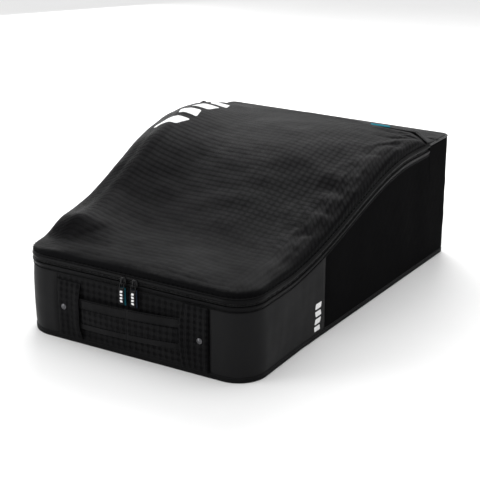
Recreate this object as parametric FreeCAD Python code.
import FreeCAD, Part
import math
import os

# Padded wedge-shaped zip bag with a full lid, in millimetres.
# +X is the bag's right-hand side, +Y its rear, +Z up. The origin is the centre of the base's underside.

V = FreeCAD.Vector

# Overall size
LENGTH = 644.0
WIDTH_FRONT = 400.0
REAR_FLARE = 19.0          # how much further each side stands out at the rear than at the front
FLARE_START = 150.0        # distance from the front where the sides begin to flare
FRONT_HEIGHT = 128.0       # height of the lid seam at the front
REAR_HEIGHT = 214.0        # height of the body at the rear
SEAM_ABOVE_REAR = 2.0      # the lid seam's rear stretch stands this far above the body
FRONT_RADIUS = 45.0
REAR_RADIUS = 12.0
RISE_START = 100.0         # distance from the front where the lid seam begins to climb
RISE_END = 497.0           # distance from the front where it levels out

# Wall and lid layers
SKIN = 2.0
FOAM = 5.0
LINING = 1.0
BASE_BOARD = 3.0
BASE_FOAM = 5.0

# Lid
LID_EDGE_RISE = 10.0       # height of the lid's side border above its seam
LID_REAR_RISE = 6.0        # the same at the lid's rear edge
LID_CROWN = 36.0           # how much higher the lid's middle stands than its border
YOKE_DEPTH = 35.0          # from the lid's rear seam back to the rear panel
TONGUE_LENGTH = 44.0       # how far the yoke reaches forward along each side
CORNER_CUT = 28.0          # from the front panel's side line in to the rear seam's straight run
GAP = 0.3                  # clearance between pieces that move apart
HINGE_GAP = 0.5

# Zip, measured down from the lid seam
COIL_DROP = 9.0
COIL_HEIGHT = 1.5
COIL_PROUD = 1.3
TAPE_INSET = 2.5
TAPE_THICKNESS = 1.5
BAND_DROP = 20.0           # from the lid seam down to the top of the walls
PIPING = 3.0
PIPING_PROUD = 1.5
STOP_LENGTH = 4.0

# Trim
BINDING_BOTTOM = 0.5
BINDING_TOP = 9.0
BINDING_PROUD = 1.2
CORNER_PANEL_RETURN = 22.0 # how far each corner panel runs on to the flat front
SIDE_SEAM_FROM_FRONT = 221.0
REAR_PIPING_RADIUS = 2.0
LABEL_LENGTH = 36.0
LABEL_FROM_CORNER = 68.0   # label's middle, from the right end of the rear seam's straight run
LABEL_HEIGHT = 3.0
LABEL_THICKNESS = 0.8
TAB_LENGTH = 26.0
TAB_WIDTH = 15.0
TAB_THICKNESS = 2.4
TAB_RISE_DEG = 25.0
TAB_DROP = 5.0             # the tab's root below the lid seam

# Handle
PATCH_WIDTH = 44.0
PATCH_BOTTOM = 10.0
PATCH_THICKNESS = 1.8
STRAP_CENTRE_Z = 56.0
STRAP_HEIGHT = 48.0
STRAP_THICKNESS = 3.0
STRAP_STANDOFF = 2.5       # between the front panel and the strap at its ends
STRAP_BOW = 5.0            # how much further the strap's middle stands out
STRAP_END_GAP = 0.8
STRAP_BINDING_UPPER = 15.0
STRAP_BINDING_LOWER = 9.0
BINDING_THICKNESS = 0.8
RIVET_RADIUS = 4.5
RIVET_HEAD = 2.0
RIVET_INSET = 13.0         # rivet centre from the patch's outer edge
RIVET_SHANK_RADIUS = 2.0
CAP_RADIUS = 5.5
CAP_THICKNESS = 1.2

# Sliders and pulls
SLIDER_X = 10.0
SLIDER_WIDTH = 11.0
SLIDER_HEIGHT = 12.0
SLIDER_THICKNESS = 2.5
SLIDER_TOP_DROP = 2.0      # slider's top below the lid seam
SLIDER_STANDOFF = 1.2      # slider's back in front of the front panel
PIN_RADIUS = 0.8
PIN_CLEARANCE = 0.35
EYE_RADIUS = 2.2
EYE_WIDTH = 3.6
CHEEK_THICKNESS = 1.2
CHEEK_CLEARANCE = 0.4
PULL_WIDTH = 9.5
PULL_THICKNESS = 1.3
PULL_LENGTH = 26.0
PULL_GAP = 0.2
PULL_DROP = 7.0            # from the pin down to the ribbon's top
CROSSBAR_HEIGHT = 2.4

# Values worked out from the sizes above
FRONT_Y = -LENGTH / 2
REAR_Y = LENGTH / 2
HALF_FRONT = WIDTH_FRONT / 2
SEAM_REAR = REAR_HEIGHT + SEAM_ABOVE_REAR
HINGE_Y = REAR_Y - YOKE_DEPTH
ZIP_END_Y = HINGE_Y - TONGUE_LENGTH
YOKE_HALF_WIDTH = HALF_FRONT - CORNER_CUT
FRONT_PANEL_HALF_WIDTH = HALF_FRONT - FRONT_RADIUS - CORNER_PANEL_RETURN
FLARE_Y = FRONT_Y + FLARE_START
LID_STACK = SKIN + FOAM + LINING
WALL_STACK = SKIN + FOAM + LINING
FAR = LENGTH + WIDTH_FRONT

os.makedirs("parts", exist_ok=True)


def save(name, shape):
    """Write one node as a STEP file."""
    solids = shape.Solids
    result = solids[0] if len(solids) == 1 else Part.makeCompound(solids)
    result.exportStep("parts/" + name + ".step")
    print(name, len(solids), round(shape.Volume / 1000.0, 2), "cm3")


def box(x0, x1, y0, y1, z0, z1):
    return Part.makeBox(x1 - x0, y1 - y0, z1 - z0, V(x0, y0, z0))


def mirrored(shape):
    """The same piece on the bag's other side."""
    return shape.mirror(V(0, 0, 0), V(1, 0, 0))


def half_width(y):
    """Half the bag's width at y."""
    past = max(0.0, y - FLARE_Y)
    return HALF_FRONT + REAR_FLARE * past / (REAR_Y - FLARE_Y)


def inset_corners(points, inset):
    """Corners of a counter-clockwise polygon after every side moves inwards."""
    count = len(points)
    result = []
    for i in range(count):
        before = points[i - 1]
        here = points[i]
        after = points[(i + 1) % count]
        d1 = (here - before).normalize()
        d2 = (after - here).normalize()
        n1 = V(-d1.y, d1.x, 0)
        n2 = V(-d2.y, d2.x, 0)
        bisector = (n1 + n2).normalize()
        result.append(here + bisector * (inset / bisector.dot(n1)))
    return result


def rounded_wire(points, radii):
    """Closed wire through the corners, each rounded by an arc."""
    edges = []
    ends = []
    count = len(points)
    for i in range(count):
        here = points[i]
        d1 = (here - points[i - 1]).normalize()
        d2 = (points[(i + 1) % count] - here).normalize()
        if radii[i] <= 0:
            ends.append((here, here, None))
            continue
        half_turn = math.acos(max(-1.0, min(1.0, d1.dot(d2)))) / 2
        reach = radii[i] * math.tan(half_turn)
        start = here - d1 * reach
        end = here + d2 * reach
        inward = (d2 - d1).normalize()
        middle = here + inward * (radii[i] / math.cos(half_turn) - radii[i])
        ends.append((start, end, Part.Arc(start, middle, end).toShape()))
    for i in range(count):
        if ends[i][2] is not None:
            edges.append(ends[i][2])
        edges.append(Part.makeLine(ends[i][1], ends[(i + 1) % count][0]))
    return Part.Wire(edges)


def prism(points, radii, z0, z1):
    wire = rounded_wire(points, radii)
    wire.translate(V(0, 0, z0))
    return Part.Face(wire).extrude(V(0, 0, z1 - z0))


def body_prism(inset, z0=0.0, z1=2 * REAR_HEIGHT):
    """The bag's plan outline, moved inwards by inset, as an upright block."""
    corners = [
        V(-HALF_FRONT, FRONT_Y, 0),
        V(HALF_FRONT, FRONT_Y, 0),
        V(HALF_FRONT, FLARE_Y, 0),
        V(HALF_FRONT + REAR_FLARE, REAR_Y, 0),
        V(-HALF_FRONT - REAR_FLARE, REAR_Y, 0),
        V(-HALF_FRONT, FLARE_Y, 0),
    ]
    front = FRONT_RADIUS - inset
    rear = max(REAR_RADIUS - inset, 1.0)
    return prism(inset_corners(corners, inset), [front, front, 0, rear, rear, 0], z0, z1)


def lid_prism(inset, z0=0.0, z1=2 * REAR_HEIGHT):
    """The lid's plan outline: the bag's, with its rear cut to the sewn seam and two slanted corners."""
    rear_y = HINGE_Y - HINGE_GAP
    side_y = ZIP_END_Y - HINGE_GAP
    corners = [
        V(-HALF_FRONT, FRONT_Y, 0),
        V(HALF_FRONT, FRONT_Y, 0),
        V(HALF_FRONT, FLARE_Y, 0),
        V(half_width(side_y), side_y, 0),
        V(YOKE_HALF_WIDTH, rear_y, 0),
        V(-YOKE_HALF_WIDTH, rear_y, 0),
        V(-half_width(side_y), side_y, 0),
        V(-HALF_FRONT, FLARE_Y, 0),
    ]
    front = FRONT_RADIUS - inset
    return prism(inset_corners(corners, inset), [front, front, 0, 0, 0, 0, 0, 0], z0, z1)


def ring(outer, inner):
    """Upright wall that follows the plan outline between two insets."""
    return body_prism(outer).cut(body_prism(inner))


def seam_z(y):
    """Height of the lid seam at y: level, then an S-curve, then level."""
    t = (y - FRONT_Y - RISE_START) / (RISE_END - RISE_START)
    t = max(0.0, min(1.0, t))
    return FRONT_HEIGHT + (SEAM_REAR - FRONT_HEIGHT) * t * t * (3 - 2 * t)


def seam_edges(offset, x):
    """The lid seam's side view, moved up by offset, as three edges from front to rear."""
    low = FRONT_HEIGHT + offset
    high = SEAM_REAR + offset
    y1 = FRONT_Y + RISE_START
    y2 = FRONT_Y + RISE_END
    third = (y2 - y1) / 3
    curve = Part.BezierCurve()
    curve.setPoles([V(x, y1, low), V(x, y1 + third, low), V(x, y2 - third, high), V(x, y2, high)])
    return [
        Part.makeLine(V(x, -FAR, low), V(x, y1, low)),
        curve.toShape(),
        Part.makeLine(V(x, y2, high), V(x, FAR, high)),
    ]


def seam_slab(low, high):
    """Everything between two copies of the seam line, at offsets low and high."""
    bottom = seam_edges(low, -FAR)
    top = seam_edges(high, -FAR)
    sides = [
        Part.makeLine(V(-FAR, -FAR, FRONT_HEIGHT + low), V(-FAR, -FAR, FRONT_HEIGHT + high)),
        Part.makeLine(V(-FAR, FAR, SEAM_REAR + low), V(-FAR, FAR, SEAM_REAR + high)),
    ]
    wire = Part.Wire(Part.__sortEdges__(bottom + top + sides))
    return Part.Face(wire).extrude(V(2 * FAR, 0, 0))


def wall_region(rear_top):
    """Side view of the walls: under the zip band, and up to rear_top behind the zip's end."""
    low = seam_edges(-BAND_DROP, -FAR)[:2]
    high = SEAM_REAR - BAND_DROP
    corners = [
        V(-FAR, FRONT_Y + RISE_END, high),
        V(-FAR, ZIP_END_Y, high),
        V(-FAR, ZIP_END_Y, rear_top),
        V(-FAR, FAR, rear_top),
        V(-FAR, FAR, SKIN),
        V(-FAR, -FAR, SKIN),
        V(-FAR, -FAR, FRONT_HEIGHT - BAND_DROP),
    ]
    lines = [Part.makeLine(a, b) for a, b in zip(corners, corners[1:])]
    wire = Part.Wire(Part.__sortEdges__(low + lines))
    return Part.Face(wire).extrude(V(2 * FAR, 0, 0))


def in_front_of(y):
    return box(-FAR, FAR, -FAR, y, -FAR, FAR)


def behind(y):
    return box(-FAR, FAR, y, FAR, -FAR, FAR)


# ---------------------------------------------------------------- base

def make_base():
    board_bottom = SKIN
    foam_bottom = board_bottom + BASE_BOARD
    lining_bottom = foam_bottom + BASE_FOAM
    save("base_panel", body_prism(0, 0, SKIN))
    save("base_board", body_prism(WALL_STACK, board_bottom, foam_bottom))
    save("base_foam", body_prism(WALL_STACK, foam_bottom, lining_bottom))
    save("base_lining", body_prism(WALL_STACK, lining_bottom, lining_bottom + LINING))
    outer = body_prism(-BINDING_PROUD, BINDING_BOTTOM, BINDING_TOP)
    save("base_binding", outer.cut(body_prism(0, 0, BINDING_TOP + 1)))


# ---------------------------------------------------------------- walls

def make_walls():
    skin_top = REAR_HEIGHT - SKIN
    foam_top = skin_top - FOAM
    skin = ring(0, SKIN).common(wall_region(skin_top))
    foam = ring(SKIN, SKIN + FOAM).common(wall_region(foam_top))
    lining = ring(SKIN + FOAM, WALL_STACK).common(wall_region(foam_top - LINING))

    seam_y = FRONT_Y + SIDE_SEAM_FROM_FRONT
    rear_seam_y = REAR_Y - REAR_RADIUS
    front_block = box(-FRONT_PANEL_HALF_WIDTH, FRONT_PANEL_HALF_WIDTH, -FAR, FRONT_Y + FRONT_RADIUS, 0, FAR)
    corner_block = box(FRONT_PANEL_HALF_WIDTH, FAR, -FAR, seam_y, 0, FAR)
    side_block = box(0, FAR, seam_y, rear_seam_y, 0, FAR)

    shanks = rivet_shanks()
    save("front_centre_panel", skin.common(front_block).cut(shanks))
    corner = skin.common(corner_block)
    side = skin.common(side_block)
    for name, shape in (("front_corner", corner), ("side_panel", side)):
        save(name + "_right", shape)
        save(name + "_left", mirrored(shape))
    save("rear_panel", skin.common(behind(rear_seam_y)))

    side_foam = foam.common(box(0, FAR, FRONT_Y + FRONT_RADIUS, rear_seam_y, 0, FAR))
    save("wall_foam_front", foam.common(in_front_of(FRONT_Y + FRONT_RADIUS)).cut(shanks))
    save("wall_foam_right", side_foam)
    save("wall_foam_left", mirrored(side_foam))
    save("wall_foam_rear", foam.common(behind(rear_seam_y)))
    save("wall_lining", lining.cut(shanks))


def rivet_shanks():
    """The two rivet shanks, from the patch's face to the wall's inner face."""
    face_y = FRONT_Y - STRAP_THICKNESS - PATCH_THICKNESS
    centre = V(FRONT_PANEL_HALF_WIDTH - RIVET_INSET, face_y, STRAP_CENTRE_Z)
    length = STRAP_THICKNESS + PATCH_THICKNESS + WALL_STACK
    shank = Part.makeCylinder(RIVET_SHANK_RADIUS, length, centre, V(0, 1, 0))
    return Part.makeCompound([shank, mirrored(shank)])


def make_rear_piping():
    """Round piping up each rear vertical edge, standing on the corner's outer face."""
    reach = REAR_RADIUS * (1 - math.cos(math.pi / 4))
    x = HALF_FRONT + REAR_FLARE - reach + REAR_PIPING_RADIUS
    y = REAR_Y - reach + REAR_PIPING_RADIUS
    top = REAR_HEIGHT - SKIN
    rod = Part.makeCylinder(REAR_PIPING_RADIUS, top - BINDING_TOP, V(x, y, BINDING_TOP))
    rod = rod.cut(body_prism(0))
    save("rear_piping_right", rod)
    save("rear_piping_left", mirrored(rod))


# ---------------------------------------------------------------- yoke behind the lid

def yoke_opening():
    """The lid's plan opening in the body's top."""
    side = half_width(ZIP_END_Y) + FAR / 2
    corners = [
        V(-side, -FAR, 0),
        V(side, -FAR, 0),
        V(side, ZIP_END_Y, 0),
        V(half_width(ZIP_END_Y), ZIP_END_Y, 0),
        V(YOKE_HALF_WIDTH, HINGE_Y, 0),
        V(-YOKE_HALF_WIDTH, HINGE_Y, 0),
        V(-half_width(ZIP_END_Y), ZIP_END_Y, 0),
        V(-side, ZIP_END_Y, 0),
    ]
    return prism(corners, [0] * len(corners), 0, FAR)


def make_yoke():
    skin_bottom = REAR_HEIGHT - SKIN
    foam_bottom = skin_bottom - FOAM
    cutter = yoke_opening()
    save("rear_yoke", body_prism(0, skin_bottom, REAR_HEIGHT).cut(cutter))
    save("yoke_foam", body_prism(SKIN, foam_bottom, skin_bottom).cut(cutter))
    lining = body_prism(SKIN + FOAM, foam_bottom - LINING, foam_bottom)
    save("yoke_lining", lining.cut(cutter))

    label_y = HINGE_Y + HINGE_GAP
    x0 = YOKE_HALF_WIDTH - LABEL_FROM_CORNER - LABEL_LENGTH / 2
    label = box(x0, x0 + LABEL_LENGTH, label_y, label_y + LABEL_HEIGHT, REAR_HEIGHT, REAR_HEIGHT + LABEL_THICKNESS)
    save("seam_label", label)


# ---------------------------------------------------------------- lid

def lid_top(x, y):
    """Height of the lid's outer surface."""
    middle_y = (FRONT_Y + HINGE_Y) / 2
    along = (y - middle_y) / (HINGE_Y - middle_y)
    across = x / half_width(y)
    rear_fade = max(0.0, (y - FRONT_Y) / (HINGE_Y - FRONT_Y)) ** 8
    border = LID_EDGE_RISE + (LID_REAR_RISE - LID_EDGE_RISE) * rear_fade
    crown = (1 - along ** 4) * (1 - across ** 4)
    return seam_z(y) + border + LID_CROWN * crown


def lid_block(depth):
    """Solid under the lid's outer surface, moved inwards by depth on the top and on every side."""
    margin = 6.0
    columns = 17
    rows = 33
    x_reach = half_width(HINGE_Y) + margin
    y0 = FRONT_Y - margin
    y1 = HINGE_Y + margin
    grid = []
    for i in range(rows):
        y = y0 + (y1 - y0) * i / (rows - 1)
        line = []
        for j in range(columns):
            x = -x_reach + 2 * x_reach * j / (columns - 1)
            line.append(V(x, y, lid_top(x, y) - depth))
        grid.append(line)
    surface = Part.BSplineSurface()
    surface.interpolate(grid)
    under = surface.toShape().extrude(V(0, 0, -SEAM_REAR))
    return lid_prism(depth).common(under)


def make_lid():
    above_seam = seam_slab(0, REAR_HEIGHT)
    above_piping = seam_slab(PIPING / 2, REAR_HEIGHT)
    layers = [0, SKIN, SKIN + FOAM, LID_STACK]
    blocks = [lid_block(depth) for depth in layers]
    save("lid_panel", blocks[0].cut(blocks[1]).common(above_piping))
    save("lid_foam", blocks[1].cut(blocks[2]).common(above_seam))
    save("lid_lining", blocks[2].cut(blocks[3]).common(above_seam))


# ---------------------------------------------------------------- zip

def make_zip():
    run = in_front_of(ZIP_END_Y - HINGE_GAP)
    tape = ring(TAPE_INSET, TAPE_INSET + TAPE_THICKNESS).common(run)
    coil = ring(TAPE_INSET - COIL_PROUD, TAPE_INSET).common(run)
    bead = ring(-PIPING_PROUD, SKIN).common(run)
    half_gap = GAP / 2
    middle = -COIL_DROP
    save("lid_zip_tape", tape.common(seam_slab(middle + half_gap, 0)))
    save("body_zip_tape", tape.common(seam_slab(-BAND_DROP, middle - half_gap)))
    save("lid_zip_coil", coil.common(seam_slab(middle + half_gap, middle + half_gap + COIL_HEIGHT)))
    save("body_zip_coil", coil.common(seam_slab(middle - half_gap - COIL_HEIGHT, middle - half_gap)))
    save("lid_piping", bead.common(seam_slab(-PIPING / 2, PIPING / 2)))
    save("body_zip_piping", bead.common(seam_slab(-BAND_DROP, -BAND_DROP + PIPING)))

    # End stops on the body tape, one just behind each coil's last tooth
    stop_y = ZIP_END_Y - HINGE_GAP
    x_outer = half_width(ZIP_END_Y) - TAPE_INSET + COIL_PROUD
    stop_top = min(SEAM_REAR - COIL_DROP - half_gap, REAR_HEIGHT - SKIN - FOAM)
    stop = box(x_outer - TAPE_THICKNESS - COIL_PROUD, x_outer, stop_y, stop_y + STOP_LENGTH,
               SEAM_REAR - BAND_DROP, stop_top)
    stop = stop.cut(ring(0, SKIN)).cut(ring(SKIN, SKIN + FOAM).common(wall_region(REAR_HEIGHT - SKIN - FOAM)))
    save("zip_end_stops", Part.makeCompound([stop, mirrored(stop)]))

    # Left tab stands out from the side, right tab lies folded over the yoke's tongue
    tab = box(0, TAB_LENGTH, ZIP_END_Y, ZIP_END_Y + TAB_WIDTH, 0, TAB_THICKNESS)
    tab.rotate(V(0, 0, 0), V(0, 1, 0), -TAB_RISE_DEG)
    tab.translate(V(half_width(ZIP_END_Y) - SKIN, 0, SEAM_REAR - TAB_DROP))
    save("zip_end_tab_left", mirrored(tab.cut(body_prism(0))))
    x1 = half_width(ZIP_END_Y) - SKIN
    y1 = HINGE_Y - HINGE_GAP
    folded = box(x1 - TAB_WIDTH, x1, y1 - TAB_LENGTH / 2, y1, REAR_HEIGHT, REAR_HEIGHT + TAB_THICKNESS)
    save("zip_end_tab_right", folded.cut(yoke_opening()))


# ---------------------------------------------------------------- handle

def strap_slab(y_end, thickness, bow, half_length, z0, z1):
    """Strap stretch bowed away from the front panel: y_end is its inner face at the ends."""
    inner = [V(-half_length, y_end, z0), V(0, y_end - bow, z0), V(half_length, y_end, z0)]
    outer = [p - V(0, thickness, 0) for p in inner]
    edges = [
        Part.Arc(*inner).toShape(),
        Part.makeLine(inner[2], outer[2]),
        Part.Arc(*outer).toShape(),
        Part.makeLine(inner[0], outer[0]),
    ]
    wire = Part.Wire(Part.__sortEdges__(edges))
    return Part.Face(wire).extrude(V(0, 0, z1 - z0))


def make_handle():
    patch_outer = FRONT_PANEL_HALF_WIDTH
    patch_inner = patch_outer - PATCH_WIDTH
    patch_top = FRONT_HEIGHT - BAND_DROP
    strap_z0 = STRAP_CENTRE_Z - STRAP_HEIGHT / 2
    strap_z1 = STRAP_CENTRE_Z + STRAP_HEIGHT / 2

    # Strap ends, sewn to the front panel under the patches
    end_y = FRONT_Y - STRAP_THICKNESS
    end = box(patch_inner, patch_outer - SKIN, end_y, FRONT_Y, strap_z0, strap_z1)
    patch = box(patch_inner, patch_outer, end_y - PATCH_THICKNESS, end_y, PATCH_BOTTOM, patch_top)
    above = box(patch_inner, patch_outer, end_y, FRONT_Y, strap_z1, patch_top)
    below = box(patch_inner, patch_outer, end_y, FRONT_Y, PATCH_BOTTOM, strap_z0)
    patch = patch.fuse(above.common(box(0, FAR, -FAR, FAR, patch_top - PIPING, FAR)))
    patch = patch.fuse(below.common(box(0, FAR, -FAR, FAR, 0, PATCH_BOTTOM + PIPING)))
    patch = patch.removeSplitter()

    # Rivets through patch, strap end and front panel, with a cap on the inside
    rivet_x = patch_outer - RIVET_INSET
    outwards = V(0, -1, 0)
    face_y = end_y - PATCH_THICKNESS
    cap_y = FRONT_Y + WALL_STACK
    head = Part.makeCylinder(RIVET_RADIUS, RIVET_HEAD, V(rivet_x, face_y, STRAP_CENTRE_Z), outwards)
    rim = [edge for edge in head.Edges if edge.BoundBox.YMax < face_y - RIVET_HEAD / 2]
    head = head.makeFillet(RIVET_HEAD * 0.6, rim)
    cap = Part.makeCylinder(CAP_RADIUS, CAP_THICKNESS, V(rivet_x, cap_y + CAP_THICKNESS, STRAP_CENTRE_Z), outwards)
    shanks = rivet_shanks()
    rivets = [head.fuse(shanks.Solids[0]).removeSplitter()]
    rivets.append(mirrored(rivets[0]))

    for suffix, place in (("_right", lambda s: s), ("_left", mirrored)):
        save("handle_patch" + suffix, place(patch).cut(shanks))
        save("strap_end" + suffix, place(end).cut(shanks))
    save("handle_rivets", Part.makeCompound(rivets))
    save("rivet_caps", Part.makeCompound([cap, mirrored(cap)]))

    # The free strap: a core, and a folded binding over each long edge
    half = patch_inner - STRAP_END_GAP
    y_end = FRONT_Y - STRAP_STANDOFF
    core = strap_slab(y_end, STRAP_THICKNESS, STRAP_BOW, half, strap_z0, strap_z1)
    save("handle_strap", core)
    wrap_y = y_end - STRAP_THICKNESS
    upper = strap_slab(wrap_y, BINDING_THICKNESS, STRAP_BOW, half, strap_z1 - STRAP_BINDING_UPPER, strap_z1)
    lower = strap_slab(wrap_y, BINDING_THICKNESS, STRAP_BOW, half, strap_z0, strap_z0 + STRAP_BINDING_LOWER)
    save("strap_binding_upper", upper)
    save("strap_binding_lower", lower)


# ---------------------------------------------------------------- sliders and pulls

def make_sliders():
    z1 = FRONT_HEIGHT - SLIDER_TOP_DROP
    z0 = z1 - SLIDER_HEIGHT
    back_y = FRONT_Y - SLIDER_STANDOFF
    face_y = back_y - SLIDER_THICKNESS
    pin_y = face_y - EYE_RADIUS - GAP
    pin_z = z0 + EYE_RADIUS + 1.0

    # Plate with rounded corners, two cheeks and the pin between them
    half = SLIDER_WIDTH / 2
    plate = box(-half, half, face_y, back_y, z0, z1)
    upright = [e for e in plate.Edges if abs(e.tangentAt(e.FirstParameter).y) > 0.9]
    plate = plate.makeFillet(SLIDER_WIDTH / 4, upright)
    inner = EYE_WIDTH / 2 + CHEEK_CLEARANCE
    outer = inner + CHEEK_THICKNESS
    along_x = V(1, 0, 0)
    cheek = Part.makeCylinder(EYE_RADIUS - GAP, CHEEK_THICKNESS, V(inner, pin_y, pin_z), along_x)
    cheek = cheek.fuse(box(inner, outer, pin_y, face_y, pin_z - EYE_RADIUS + GAP, pin_z + EYE_RADIUS - GAP))
    pin = Part.makeCylinder(PIN_RADIUS, 2 * outer, V(-outer, pin_y, pin_z), along_x)
    slider = plate.fuse([cheek, mirrored(cheek), pin]).removeSplitter()

    # Link: an eye round the pin, a shank and a crossbar
    eye = Part.makeCylinder(EYE_RADIUS, EYE_WIDTH, V(-EYE_WIDTH / 2, pin_y, pin_z), along_x)
    bar_top = pin_z - PULL_DROP + CROSSBAR_HEIGHT
    shank = box(-EYE_WIDTH / 2, EYE_WIDTH / 2, pin_y - PULL_THICKNESS / 2, pin_y + PULL_THICKNESS / 2,
                bar_top, pin_z)
    bar = box(-PULL_WIDTH / 2, PULL_WIDTH / 2, pin_y - PULL_THICKNESS, pin_y + PULL_THICKNESS,
              bar_top - CROSSBAR_HEIGHT, bar_top)
    link = eye.fuse([shank, bar])
    hole = Part.makeCylinder(PIN_RADIUS + PIN_CLEARANCE, 2 * outer, V(-outer, pin_y, pin_z), along_x)
    link = link.cut(hole).removeSplitter()

    # Ribbon: a front layer and a backing layer
    top = pin_z - PULL_DROP
    half = PULL_WIDTH / 2
    front = box(-half, half, pin_y - PULL_GAP / 2 - PULL_THICKNESS, pin_y - PULL_GAP / 2, top - PULL_LENGTH, top)
    backing = box(-half, half, pin_y + PULL_GAP / 2, pin_y + PULL_GAP / 2 + PULL_THICKNESS, top - PULL_LENGTH, top)

    for suffix, x in (("_right", SLIDER_X), ("_left", -SLIDER_X)):
        for name, shape in (("slider", slider), ("pull_link", link), ("pull_ribbon", front), ("pull_backing", backing)):
            placed = shape.copy()
            placed.translate(V(x, 0, 0))
            save(name + suffix, placed)
    print("pull pin at", pin_y, pin_z, "lid hinge at", HINGE_Y, SEAM_REAR)


make_base()
make_walls()
make_rear_piping()
make_yoke()
make_lid()
make_zip()
make_handle()
make_sliders()
